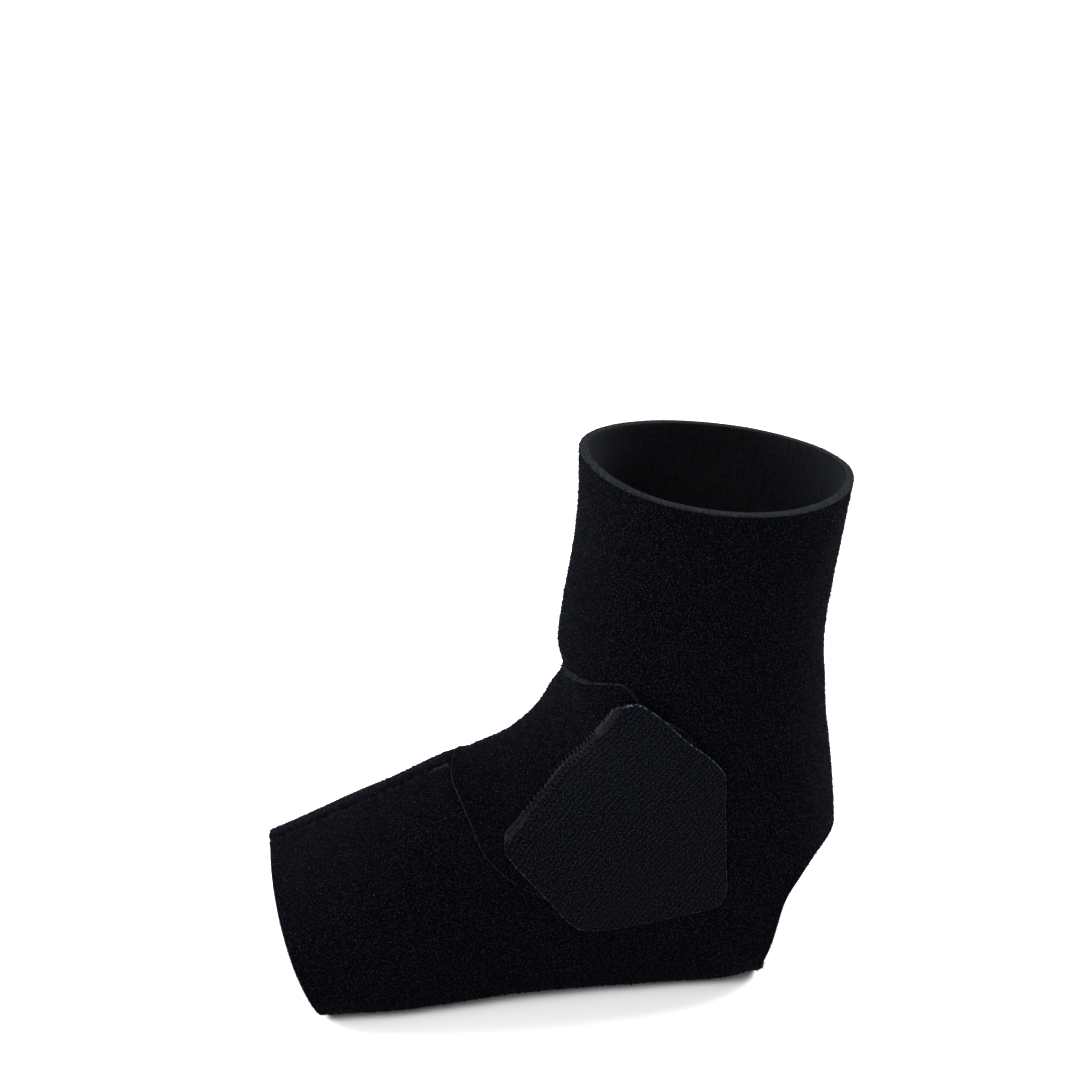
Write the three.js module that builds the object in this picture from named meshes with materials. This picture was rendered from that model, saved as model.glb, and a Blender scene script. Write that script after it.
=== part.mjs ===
// Foot and ankle compression wrap for a left foot: a hollow sleeve of loop-faced neoprene with an
// open toe, heel and ankle rim, a strap over the instep, and a five-sided hook tab on its end.
// Millimetres, +Z up. X runs from the toes (-) to the heel (+), and the foot's outer side is -Y.
// The origin lies on the underside of the sole, below the middle of the foot.
import * as THREE from 'three';

// Driving dimensions
const WALL = 3.5; // neoprene laminate of the sleeve and the strap
const TAB_THICKNESS = 1.1; // hook tape
const LAYER_GAP = 0.8; // clearance between layers that lie on each other
const STRAP_TIP_THICKNESS = 0.6; // the strap's end, skived thin under the tab

// Fineness of the sleeve's mesh
const BASE_COLUMNS = 5; // from the base line to the side of the heel opening
const SIDE_COLUMNS = 14; // from there up to the dorsal line
const HALF_COLUMNS = BASE_COLUMNS + SIDE_COLUMNS;
const ARC_STEPS = 120; // points on a half section before it is shared out by length

// The sleeve's sections, from the toe edge round the heel to the ankle rim. Each lies in a plane
// across the foot, from a point of the base line (sole, then back of the heel) to a point of the
// dorsal line (top of the foot, then front of the ankle).
//   rows          mesh rows to the next section
//   topX, topZ    point of the dorsal line
//   baseX, baseZ  point of the base line
//   outer, inner  half widths on the outer and the inner side of the foot
//   ridge         how far the dorsal line lies towards the inner side
//   level         height of the widest part, as a share of the section
//   crown, floor  fullness above and below the widest part, 2 for an ellipse
//   bow           how far the sides lie out of the plane, back towards the section before
//   dent          how deep the strap and the fold above it press in at the dorsal line
//   hem           length along the section from the base line to the side of the heel opening
const SECTIONS = [
  { name: 'toe edge', rows: 4, topX: -100.8, topZ: 42, baseX: -81, baseZ: -2, outer: 50.5, inner: 45,
    ridge: 8, level: 0.36, crown: 2.1, floor: 3.2, bow: 2, dent: 0, hem: 38 },
  { name: 'ball', rows: 4, topX: -76, topZ: 55.6, baseX: -58, baseZ: -3, outer: 49.5, inner: 45,
    ridge: 7, level: 0.35, crown: 2.0, floor: 3.5, bow: 1, dent: 0, hem: 37 },
  { name: 'midfoot', rows: 3, topX: -55.5, topZ: 67.2, baseX: -32, baseZ: -2.5, outer: 45.5, inner: 42,
    ridge: 6, level: 0.35, crown: 1.9, floor: 3.6, bow: 0, dent: 0, hem: 35 },
  { name: 'before strap', rows: 2, topX: -41, topZ: 75.4, baseX: -12, baseZ: -2, outer: 42, inner: 40.5,
    ridge: 5, level: 0.35, crown: 1.85, floor: 3.6, bow: 0, dent: 0, hem: 33 },
  { name: 'strap front', rows: 3, topX: -32, topZ: 77.4, baseX: 2, baseZ: -2, outer: 40.5, inner: 39.5,
    ridge: 5, level: 0.36, crown: 1.85, floor: 3.6, bow: 0, dent: 3, hem: 33 },
  { name: 'low instep', rows: 4, topX: -19, topZ: 80.8, baseX: 22, baseZ: -2, outer: 38, inner: 38,
    ridge: 4, level: 0.38, crown: 1.9, floor: 3.8, bow: 0, dent: 1.2, hem: 32 },
  { name: 'high instep', rows: 3, topX: -2.4, topZ: 95.9, baseX: 54, baseZ: -2, outer: 36.3, inner: 38,
    ridge: 2, level: 0.45, crown: 1.9, floor: 4.2, bow: 0, dent: 0.4, hem: 32 },
  { name: 'rear of sole', rows: 4, topX: 1.2, topZ: 107, baseX: 71, baseZ: -2, outer: 36.4, inner: 38,
    ridge: 1, level: 0.48, crown: 1.9, floor: 4.6, bow: 0, dent: 2.6, hem: 33 },
  { name: 'notch', rows: 4, topX: 1.6, topZ: 114, baseX: 96, baseZ: 14, outer: 38, inner: 38.5,
    ridge: 0, level: 0.48, crown: 1.95, floor: 2.8, bow: 0, dent: 4, hem: 49 },
  { name: 'top of heel opening', rows: 3, topX: 0.9, topZ: 119.5, baseX: 101, baseZ: 36, outer: 38.5,
    inner: 38.5, ridge: 0, level: 0.48, crown: 2.0, floor: 2.3, bow: 0, dent: 0.9, hem: 37.5 },
  { name: 'heel cord', rows: 3, topX: 0.5, topZ: 125, baseX: 99.5, baseZ: 54, outer: 38.5, inner: 38.5,
    ridge: 0, level: 0.48, crown: 2.0, floor: 2.2, bow: 0, dent: 0, hem: 34 },
  { name: 'malleoli', rows: 4, topX: 1.7, topZ: 135, baseX: 98.2, baseZ: 74, outer: 38.5, inner: 38.5,
    ridge: 0, level: 0.48, crown: 2.0, floor: 2.1, bow: 0, dent: 0, hem: 34 },
  { name: 'narrow of ankle', rows: 4, topX: 4, topZ: 149, baseX: 95.6, baseZ: 98, outer: 37.5,
    inner: 37.5, ridge: 0, level: 0.49, crown: 2.0, floor: 2.0, bow: 0, dent: 0, hem: 34 },
  { name: 'low shin', rows: 4, topX: 6.4, topZ: 162, baseX: 94.6, baseZ: 125, outer: 38, inner: 38,
    ridge: 0, level: 0.5, crown: 2.0, floor: 2.0, bow: 0.6, dent: 0, hem: 34 },
  { name: 'shin', rows: 4, topX: 7.8, topZ: 177, baseX: 98.2, baseZ: 152, outer: 40, inner: 40,
    ridge: 0, level: 0.5, crown: 2.0, floor: 2.0, bow: 1.8, dent: 0, hem: 34 },
  { name: 'ankle rim', rows: 0, topX: 8.2, topZ: 196.3, baseX: 103.6, baseZ: 184.5, outer: 41.5,
    inner: 41.5, ridge: 0, level: 0.5, crown: 2.0, floor: 2.0, bow: 3, dent: 0, hem: 34 },
];
const DENT_SPREAD = 3; // the higher, the closer a dent stays to the dorsal line
const SECTION_SIZES = Object.keys(SECTIONS[0]).filter((key) => key !== 'name' && key !== 'rows');

// The heel opening, between two sections. Its upper edge rises to a third one at the heel cord,
// and the rows above it straighten again over a few sections.
const OPENING_FROM = 7;
const OPENING_TO = 9;
const OPENING_CROWN = 0.9; // sections that the middle of the upper edge rises
const OPENING_FADE = 3; // sections over which the rise dies out
const OPENING_SQUARENESS = 3; // how flat the upper edge is before it turns down to the sides

// Slopes for a smooth curve through evenly spaced values that does not overshoot them
function slopes(values) {
  const steps = values.slice(1).map((value, i) => value - values[i]);
  return values.map((_, i) => {
    if (i === 0) return steps[0];
    if (i === steps.length) return steps[i - 1];
    const product = steps[i - 1] * steps[i];
    return product <= 0 ? 0 : (2 * product) / (steps[i - 1] + steps[i]);
  });
}

// A value of that curve at position u, counted in sections
function smoothAt(values, tangents, u) {
  const i = Math.min(Math.floor(u), values.length - 2);
  const t = u - i;
  const rise = t * t * (3 - 2 * t);
  return values[i] * (1 - rise) + values[i + 1] * rise
    + tangents[i] * t * (1 - t) * (1 - t) - tangents[i + 1] * t * t * (1 - t);
}

const sizeCurves = Object.fromEntries(SECTION_SIZES.map((key) => {
  const values = SECTIONS.map((section) => section[key]);
  return [key, { values, tangents: slopes(values) }];
}));

function sectionAt(u) {
  return Object.fromEntries(SECTION_SIZES.map((key) => {
    const { values, tangents } = sizeCurves[key];
    return [key, smoothAt(values, tangents, u)];
  }));
}

// Running length along a row of points
function runningLengths(points) {
  const lengths = [0];
  for (let i = 1; i < points.length; i += 1) {
    lengths.push(lengths[i - 1] + points[i].distanceTo(points[i - 1]));
  }
  return lengths;
}

// Point at a given running length
function pointAt(points, lengths, length) {
  let i = 1;
  while (i < points.length - 1 && lengths[i] < length) i += 1;
  const share = (length - lengths[i - 1]) / (lengths[i] - lengths[i - 1] || 1);
  return points[i - 1].clone().lerp(points[i], Math.min(Math.max(share, 0), 1));
}

// Half of a section from the base line up to the dorsal line; side is -1 outer, +1 inner
function halfSection(section, side) {
  const halfWidth = side < 0 ? section.outer : section.inner;
  const base = new THREE.Vector3(section.baseX, 0, section.baseZ);
  const up = new THREE.Vector3(section.topX, 0, section.topZ).sub(base);
  const back = new THREE.Vector3(-up.z, 0, up.x).normalize();
  const points = [];
  for (let i = 0; i <= ARC_STEPS; i += 1) {
    const turn = (Math.PI * i) / ARC_STEPS;
    const low = i < ARC_STEPS / 2;
    const fullness = low ? section.floor : section.crown;
    const upright = Math.abs(Math.cos(turn)) ** (2 / fullness);
    const across = Math.max(Math.sin(turn), 0) ** (2 / fullness);
    const rise = low ? section.level * (1 - upright) : section.level + (1 - section.level) * upright;
    const lean = low ? 0 : section.ridge * upright ** 2;
    const press = low ? 0 : section.dent * upright ** DENT_SPREAD;
    const point = base.clone().addScaledVector(up, rise - press / up.length())
      .addScaledVector(back, section.bow * across);
    point.y = side * halfWidth * across + lean;
    points.push(point);
  }
  return points;
}

// How far, in sections, a row is lifted at a column between the base line and the opening's side
function openingLift(u, column) {
  if (u < OPENING_TO || column >= BASE_COLUMNS) return 0;
  const fade = Math.max(0, 1 - (u - OPENING_TO) / OPENING_FADE);
  const bow = 1 - (column / BASE_COLUMNS) ** OPENING_SQUARENESS;
  return OPENING_CROWN * bow * fade;
}

// Point of the sleeve's outer surface; column 0 is the base line, HALF_COLUMNS the dorsal line
function sleevePoint(u, side, column) {
  const section = sectionAt(u + openingLift(u, column));
  const points = halfSection(section, side);
  const lengths = runningLengths(points);
  const total = lengths[ARC_STEPS];
  const length = column <= BASE_COLUMNS
    ? (section.hem * column) / BASE_COLUMNS
    : section.hem + ((total - section.hem) * (column - BASE_COLUMNS)) / SIDE_COLUMNS;
  const point = pointAt(points, lengths, length);
  point.z = Math.max(point.z, 0);
  return point;
}

// Positions of the mesh rows, counted in sections
const ROW_POSITIONS = SECTIONS.flatMap((section, i) => (
  Array.from({ length: section.rows }, (_, k) => i + k / section.rows)
));
ROW_POSITIONS.push(SECTIONS.length - 1);

// Smooth normals of a grid of points; a wrapped grid joins its last column to its first
function gridNormals(grid, wrapped) {
  const columns = grid[0].length;
  const edge = (row, column) => {
    const r = Math.min(Math.max(row, 0), grid.length - 1);
    const c = wrapped ? (column + columns) % columns : Math.min(Math.max(column, 0), columns - 1);
    return grid[r][c];
  };
  return grid.map((line, row) => line.map((_, column) => {
    const along = edge(row + 1, column).clone().sub(edge(row - 1, column));
    const around = edge(row, column + 1).clone().sub(edge(row, column - 1));
    return around.cross(along).normalize();
  }));
}

// Closed wall between two grids of points. Quads that keep() leaves out are open, and every open
// edge is closed by a strip between the two grids.
function wallGeometry(outside, inside, wrapped, keep) {
  const columns = outside[0].length;
  const count = outside.length * columns;
  const positions = [...outside.flat(), ...inside.flat()].flatMap((point) => point.toArray());
  const id = (row, column) => row * columns + (column % columns);
  const faces = [];
  const open = new Map();
  const edge = (a, b) => {
    if (!open.delete(`${b},${a}`)) open.set(`${a},${b}`, [a, b]);
  };
  for (let row = 0; row + 1 < outside.length; row += 1) {
    for (let column = 0; column < (wrapped ? columns : columns - 1); column += 1) {
      if (!keep(row, column)) continue;
      const corners = [id(row, column), id(row, column + 1), id(row + 1, column + 1), id(row + 1, column)];
      const [a, b, c, d] = corners;
      faces.push(a, b, c, a, c, d);
      faces.push(...[a, c, b, a, d, c].map((corner) => corner + count));
      corners.forEach((corner, k) => edge(corner, corners[(k + 1) % 4]));
    }
  }
  for (const [a, b] of open.values()) {
    faces.push(b, a, a + count, b, a + count, b + count);
  }
  const geometry = new THREE.BufferGeometry();
  geometry.setAttribute('position', new THREE.Float32BufferAttribute(positions, 3));
  geometry.setIndex(faces);
  geometry.computeVertexNormals();
  return geometry;
}

function offsetGrid(grid, normals, distance) {
  return grid.map((line, row) => line.map((point, column) => (
    point.clone().addScaledVector(normals[row][column], distance)
  )));
}

// The sleeve, its columns running from the dorsal line down the outer side and back up the inner
function sleeveGrid() {
  return ROW_POSITIONS.map((u) => {
    const line = [];
    for (let column = 0; column < 2 * HALF_COLUMNS; column += 1) {
      const side = column <= HALF_COLUMNS ? -1 : 1;
      line.push(sleevePoint(u, side, Math.abs(HALF_COLUMNS - column)));
    }
    return line;
  });
}

function sleeveGeometry() {
  const outside = sleeveGrid();
  const normals = gridNormals(outside, true);
  const inside = offsetGrid(outside, normals, -WALL);
  const firstRow = ROW_POSITIONS.indexOf(OPENING_FROM);
  const lastRow = ROW_POSITIONS.indexOf(OPENING_TO);
  const keep = (row, column) => {
    const inRows = row >= firstRow && row < lastRow;
    const inColumns = column >= HALF_COLUMNS - BASE_COLUMNS && column < HALF_COLUMNS + BASE_COLUMNS;
    return !(inRows && inColumns);
  };
  return wallGeometry(outside, inside, true, keep);
}

// The strap goes round an axis inside the sleeve. Its places are given as on the flat cut piece:
// along is measured from the tab's stitched edge, towards the foot's outer side, and across from
// the origin, up and back.
const ACROSS_WAY = new THREE.Vector3(1, 0, 1).normalize();
const INSTEP_WAY = new THREE.Vector3(-1, 0, 1).normalize();
const OUTER_WAY = new THREE.Vector3(0, -1, 0);
const AXIS_OFFSET = 30; // from the origin to the axis, towards the instep
const STITCH_ANGLE = 36; // of the middle of the tab's stitched edge, from the instep outwards
const STITCH_TURN = 8; // how much further its two corners lie
const STITCH_MIDDLE = 61; // place across of that middle
const STITCH_HALF = 35; // from there to its two corners

// The fan of rays that finds the sleeve's surface round the axis: degrees, and places across
const FAN_FROM = -150;
const FAN_TO = 150;
const FAN_STEP = 3;
const ACROSS_FROM = 16;
const ACROSS_TO = 110;
const ACROSS_STEP = 2;

// Edges of the strap, from its sewn end on the foot's inner side to its thin end under the tab
const STRAP_EDGES = [
  { along: -112, low: 29, high: 80 },
  { along: -70, low: 28, high: 79 },
  { along: -40, low: 28, high: 80 },
  { along: -28, low: 27, high: 82 },
  { along: -19, low: 25.5, high: 86 },
  { along: -10, low: 23, high: 94.2 },
  { along: 0, low: 20, high: 104.5 },
  { along: 10, low: 19.5, high: 107 },
  { along: 22, low: 21.5, high: 106 },
  { along: 32, low: 26.5, high: 102.5 },
  { along: 42, low: 34, high: 97 },
];
const STRAP_STEP = 4; // mesh rows along the strap
const STRAP_COLUMNS = 15;
const SKIVE_FROM = 0; // where the strap starts to thin towards its end
const STRAP_END = STRAP_EDGES.at(-1).along;
const TAB_LANDING = 14; // length past the strap's end over which the tab comes down on the sleeve

// Corners of the tab, the first and the last on its stitched edge
const TAB_CORNERS = [
  { along: 0, across: 25 },
  { along: 44, across: 24.5 },
  { along: 76, across: 67.5 },
  { along: 37, across: 105.5 },
  { along: 0, across: 104 },
];
const TAB_CORNER_CUT = 7; // how far before a corner its rounding starts
const TAB_END_INSET = 0.002; // share of its length that the tab's mesh leaves off at both ends
const TAB_STEPS = 18;
const TAB_COLUMNS = 14;

// The sleeve's outer surface round the strap's axis: for each line across, its points, normals and
// running lengths from the stitched edge
function wrapLines(sleeve) {
  const caster = new THREE.Raycaster();
  // Rays from inside meet the outer surface from behind
  const skin = new THREE.Mesh(sleeve, new THREE.MeshBasicMaterial({ side: THREE.BackSide }));
  const lines = [];
  for (let across = ACROSS_FROM; across <= ACROSS_TO; across += ACROSS_STEP) {
    const start = ACROSS_WAY.clone().multiplyScalar(across).addScaledVector(INSTEP_WAY, AXIS_OFFSET);
    const points = [];
    const normals = [];
    for (let angle = FAN_FROM; angle <= FAN_TO; angle += FAN_STEP) {
      const turn = THREE.MathUtils.degToRad(angle);
      const way = INSTEP_WAY.clone().multiplyScalar(Math.cos(turn))
        .addScaledVector(OUTER_WAY, Math.sin(turn));
      caster.set(start, way);
      const hit = caster.intersectObject(skin).at(-1);
      points.push(hit.point);
      normals.push(hit.normal.multiplyScalar(Math.sign(hit.normal.dot(way))));
    }
    const lengths = runningLengths(points);
    const bend = ((across - STITCH_MIDDLE) / STITCH_HALF) ** 2;
    const zero = (STITCH_ANGLE + STITCH_TURN * bend - FAN_FROM) / FAN_STEP;
    const first = Math.floor(zero);
    const origin = lengths[first] + (lengths[first + 1] - lengths[first]) * (zero - first);
    lines.push({ points, normals, lengths: lengths.map((length) => length - origin) });
  }
  return lines;
}

// Point at a height above the sleeve, for a place on the flat strap
function wrapPoint(lines, along, across, height) {
  const place = (across - ACROSS_FROM) / ACROSS_STEP;
  const first = Math.min(Math.floor(place), lines.length - 2);
  const [low, high] = [lines[first], lines[first + 1]].map((line) => ({
    point: pointAt(line.points, line.lengths, along),
    normal: pointAt(line.normals, line.lengths, along),
  }));
  const normal = low.normal.lerp(high.normal, place - first).normalize();
  return low.point.lerp(high.point, place - first).addScaledVector(normal, height);
}

function strapThickness(along) {
  const share = THREE.MathUtils.inverseLerp(SKIVE_FROM, STRAP_END, along);
  return THREE.MathUtils.lerp(WALL, STRAP_TIP_THICKNESS, THREE.MathUtils.clamp(share, 0, 1));
}

// Value of a table column at a place along the strap
function edgeAt(column, along) {
  const next = Math.max(1, STRAP_EDGES.findIndex((edge) => edge.along >= along));
  const [a, b] = [STRAP_EDGES[next - 1], STRAP_EDGES[next]];
  const u = next - 1 + (along - a.along) / (b.along - a.along);
  const values = STRAP_EDGES.map((edge) => edge[column]);
  return smoothAt(values, slopes(values), u);
}

// Places from one number to another in even steps, both ends included
function spread(from, to, steps) {
  return Array.from({ length: steps + 1 }, (_, i) => from + ((to - from) * i) / steps);
}

function strapGeometry(lines) {
  const start = STRAP_EDGES[0].along;
  const steps = Math.round((STRAP_END - start) / STRAP_STEP);
  const layer = (height) => spread(start, STRAP_END, steps).map((along) => (
    spread(edgeAt('high', along), edgeAt('low', along), STRAP_COLUMNS)
      .map((across) => wrapPoint(lines, along, across, height(along)))
  ));
  const outside = layer((along) => LAYER_GAP + strapThickness(along));
  const inside = layer(() => LAYER_GAP);
  return wallGeometry(outside, inside, false, () => true);
}

// Outline of the tab with rounded corners, as points of (along, across)
function tabOutline() {
  const corners = TAB_CORNERS.map(({ along, across }) => new THREE.Vector2(along, across));
  const path = new THREE.Path();
  corners.forEach((corner, i) => {
    const before = corners.at(i - 1).clone().sub(corner).setLength(TAB_CORNER_CUT).add(corner);
    const next = corners[(i + 1) % corners.length];
    const after = next.clone().sub(corner).setLength(TAB_CORNER_CUT).add(corner);
    if (i === 0) path.moveTo(before.x, before.y);
    else path.lineTo(before.x, before.y);
    path.quadraticCurveTo(corner.x, corner.y, after.x, after.y);
  });
  path.closePath();
  return path.getPoints();
}

// Lowest and highest place across the tab at a place along it
function tabSpan(outline, along) {
  const crossings = [];
  outline.forEach((a, i) => {
    const b = outline[(i + 1) % outline.length];
    if ((a.x <= along) === (b.x <= along)) return;
    crossings.push(a.y + ((b.y - a.y) * (along - a.x)) / (b.x - a.x));
  });
  return [Math.min(...crossings), Math.max(...crossings)];
}

// Height of the tab's underside: on the strap, then down on the sleeve past the strap's end
function tabHeight(along) {
  const share = THREE.MathUtils.smoothstep(along, STRAP_END, STRAP_END + TAB_LANDING);
  const onStrap = 2 * LAYER_GAP + strapThickness(along);
  return THREE.MathUtils.lerp(onStrap, LAYER_GAP, share);
}

function tabGeometry(lines) {
  const outline = tabOutline();
  const places = outline.map((point) => point.x);
  const [first, last] = [Math.min(...places), Math.max(...places)];
  // Places close together at both ends, where the outline turns
  const alongs = spread(0, Math.PI, TAB_STEPS).map((turn) => {
    const share = (1 - Math.cos(turn)) / 2;
    return THREE.MathUtils.lerp(first, last, TAB_END_INSET + (1 - 2 * TAB_END_INSET) * share);
  });
  const layer = (rise) => alongs.map((along) => {
    const [low, high] = tabSpan(outline, along);
    return spread(high, low, TAB_COLUMNS)
      .map((across) => wrapPoint(lines, along, across, tabHeight(along) + rise));
  });
  return wallGeometry(layer(TAB_THICKNESS), layer(0), false, () => true);
}

function piece(name, geometry, finish) {
  const mesh = new THREE.Mesh(geometry, new THREE.MeshStandardMaterial(finish));
  mesh.name = name;
  return mesh;
}

const LOOP_NEOPRENE = { color: '#0b0c11', roughness: 0.95, metalness: 0 };
const HOOK_TAPE = { color: '#15161c', roughness: 0.85, metalness: 0 };

const sleeve = sleeveGeometry();
const lines = wrapLines(sleeve);
const wrap = new THREE.Group();
wrap.add(piece('sleeve', sleeve, LOOP_NEOPRENE));
wrap.add(piece('instep_strap', strapGeometry(lines), LOOP_NEOPRENE));
wrap.add(piece('hook_tab', tabGeometry(lines), HOOK_TAPE));

export default wrap;
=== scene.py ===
"""Foot compression wrap: the looks of its sleeve, instep strap, hook tab, sewing and pile.

Metres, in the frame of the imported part: +X from the toe end to the heel opening, -Y the outer side,
+Z up, with the floor at z = 0. Sizes and colours that a user would change are in the property groups.
"""

import itertools
import math
from typing import NamedTuple

import bmesh
import bpy
import numpy as np
from bpy.props import FloatProperty, FloatVectorProperty, PointerProperty
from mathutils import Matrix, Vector, noise
from mathutils.bvhtree import BVHTree
from mathutils.kdtree import KDTree


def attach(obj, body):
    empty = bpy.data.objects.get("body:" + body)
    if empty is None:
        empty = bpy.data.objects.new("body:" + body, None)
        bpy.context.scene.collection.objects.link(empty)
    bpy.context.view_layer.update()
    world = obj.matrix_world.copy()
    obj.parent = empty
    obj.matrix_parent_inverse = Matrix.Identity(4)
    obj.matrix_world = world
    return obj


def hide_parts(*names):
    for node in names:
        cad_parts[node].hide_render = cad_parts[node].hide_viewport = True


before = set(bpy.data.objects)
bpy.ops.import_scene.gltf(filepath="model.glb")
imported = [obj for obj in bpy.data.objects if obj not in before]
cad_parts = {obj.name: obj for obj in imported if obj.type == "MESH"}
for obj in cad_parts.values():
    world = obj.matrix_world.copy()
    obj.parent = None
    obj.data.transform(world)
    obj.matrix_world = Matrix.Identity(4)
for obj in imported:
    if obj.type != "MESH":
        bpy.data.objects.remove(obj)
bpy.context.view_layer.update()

bl_info = {
    "name": "Foot compression wrap",
    "version": (1, 0, 0),
    "blender": (4, 5, 0),
    "location": "View3D > Sidebar > Wrap",
    "description": "Dresses a foot compression wrap: sleeve, instep strap, hook tab, sewing and pile",
    "category": "Add Mesh",
}

MM = 0.001
BODY = "root"

# Names of the pieces
SLEEVE = "sleeve_cloth"
STRAP = "strap_cloth"
TAB = "tab_tape"
SEAM_STITCHES = "forefoot_seam_stitches"
SEAM_TACK = "forefoot_seam_tack"
TAB_STITCHES = "tab_edge_zigzag"
TAB_BARS = "tab_edge_bars"
ANCHOR_STITCHES = "strap_anchor_stitches"
FRAY = "cut_edge_fray"
SLEEVE_PILE = "sleeve_pile"
STRAP_PILE = "strap_pile"

# A point inside the sleeve, which tells the outer side of a wall from its inner side
INSIDE = np.array((30.0, 0.0, 60.0)) * MM


def linear(hex_colour):
    """Linear RGBA of an sRGB hex colour."""
    shares = [int(hex_colour[i:i + 2], 16) / 255 for i in (1, 3, 5)]
    lit = [c / 12.92 if c <= 0.04045 else ((c + 0.055) / 1.055) ** 2.4 for c in shares]
    return (*lit, 1.0)


def length(name, description, millimetres):
    """A length that a user can change, given in millimetres."""
    return FloatProperty(name=name, description=description, default=millimetres * MM,
                         min=0.0, unit="LENGTH", precision=5)


def colour(name, description, hex_colour):
    """A colour that a user can change, given as an sRGB hex value."""
    return FloatVectorProperty(name=name, description=description, default=linear(hex_colour),
                               size=4, min=0.0, max=1.0, subtype="COLOR")


class WrapSizes(bpy.types.PropertyGroup):
    """Sizes of the cloth and of its sewing."""

    wall: length("Wall", "Thickness of the neoprene laminate", 3.5)
    edge_round: length("Cut edge", "How far the foam swells out of a cut edge", 0.45)
    cad_gap: length("Layer gap", "Clearance that the part's solids keep between layers", 0.8)
    touch: length("Touch", "Clearance between layers that lie on each other", 0.08)
    tab: length("Tab", "Thickness of the hook tape", 1.1)
    tab_round: length("Tab edge", "How far the sealed edge of the hook tape swells out", 0.12)
    seam_depth: length("Seam depth", "Depth of the crease along the forefoot seam", 1.0)
    seam_width: length("Seam width", "Half width of the crease along the forefoot seam", 1.3)
    seam_pillow: length("Seam pillow", "How far the cloth rises beside the forefoot seam", 0.4)
    strap_edge: length("Strap edge", "Thickness of the strap at its pressed edges", 0.6)
    strap_round: length("Strap cut edge", "How far the strap's cut edge swells out", 0.2)
    strap_swell: length("Strap swell", "How far the sleeve swells up beside the strap", 2.6)
    lump: length("Lumps", "Unevenness of the worn laminate", 0.3)
    stitch_pitch: length("Stitch pitch", "Distance from stitch to stitch in a plain seam", 3.3)
    thread: length("Thread", "Diameter of the sewing thread", 0.55)


class WrapColours(bpy.types.PropertyGroup):
    """Colours of the cloth, the tape and the thread."""

    pile: colour("Pile", "Ground of the loop pile", "#020203")
    loops: colour("Loops", "Loops of the pile that catch the light", "#13151c")
    # painted light: the tops of the standing loops are drawn paler, as if they caught the light
    tips: colour("Tips", "Tops of the loops that stand up", "#20242f")
    bloom: colour("Bloom", "Light that the pile scatters at grazing angles", "#a4afc8")
    foam: colour("Foam", "Neoprene foam at a cut edge", "#17191f")
    pressed: colour("Pressed edge", "Strap's cut edge, pressed into the pile", "#101216")
    lining: colour("Lining", "Knitted lining inside", "#0a0b0d")
    tape: colour("Tape", "Ground of the hook tape's back", "#030304")
    ribs: colour("Ribs", "Raised yarns of the hook tape's back", "#15171e")
    # painted highlight: the sealed edge is black nylon, drawn pale where it catches the light
    tape_edge_highlight: colour("Tape edge", "Sealed cut edge of the hook tape", "#3a404d")
    thread: colour("Thread", "Thread of the bars at the ends of the tab's edge", "#1b1b1e")
    zigzag: colour("Zigzag", "Thread along the middle of the tab's edge", "#141518")
    seam_thread: colour("Seam thread", "Thread of the plain seams, sunk in the pile", "#030304")
    floor: colour("Floor", "Studio floor", "#f4f4f4")


class WrapStage(bpy.types.PropertyGroup):
    """Camera and lights."""

    eye: FloatVectorProperty(name="Eye", description="Place of the camera", subtype="TRANSLATION",
                             default=(-0.1160, -1.6117, 0.8841))
    heading: FloatProperty(name="Heading", description="Turn of the camera about the vertical",
                           default=math.radians(-3.932), subtype="ANGLE")
    pitch: FloatProperty(name="Pitch", description="How far the camera looks down",
                         default=math.radians(24.077), subtype="ANGLE")
    lens: FloatProperty(name="Lens", description="Focal length in millimetres on a 36 mm sensor",
                        default=170.4, min=10.0)
    sky: FloatProperty(name="Surroundings", description="Strength of the white surroundings",
                       default=0.75, min=0.0)
    key: FloatProperty(name="Key light", description="Power of the large soft light, in watts",
                       default=26.0, min=0.0)
    edge: FloatProperty(name="Edge lights", description="Power of the two lights behind, in watts",
                        default=40.0, min=0.0)


# Mesh helpers: a skin is an array of points and an array of quads

MERGE = 0.01 * MM
WALL_CORNER = math.radians(50)  # steeper edges part the two sides of a wall from its cut edges
JOIN_ANGLE = math.radians(60)
PROBE = 12 * MM  # reach of the rays that find what lies under a layer
SETTLE_ROUNDS = 8  # how much a layer evens out the steps of what it lies on
STIFFNESS = 6  # how often it is lifted off the steps that would cut into it
THINNEST = 0.5  # share of its least height that a layer always keeps
# Cut edge from the outer to the inner side: shares of its swelling and of the cloth's thickness
CUT_EDGE = ((0.7, 0.06), (0.95, 0.2), (1.0, 0.5), (0.95, 0.8), (0.7, 0.94))
OUTER, EDGE, INNER = 0, 1, 2


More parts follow.
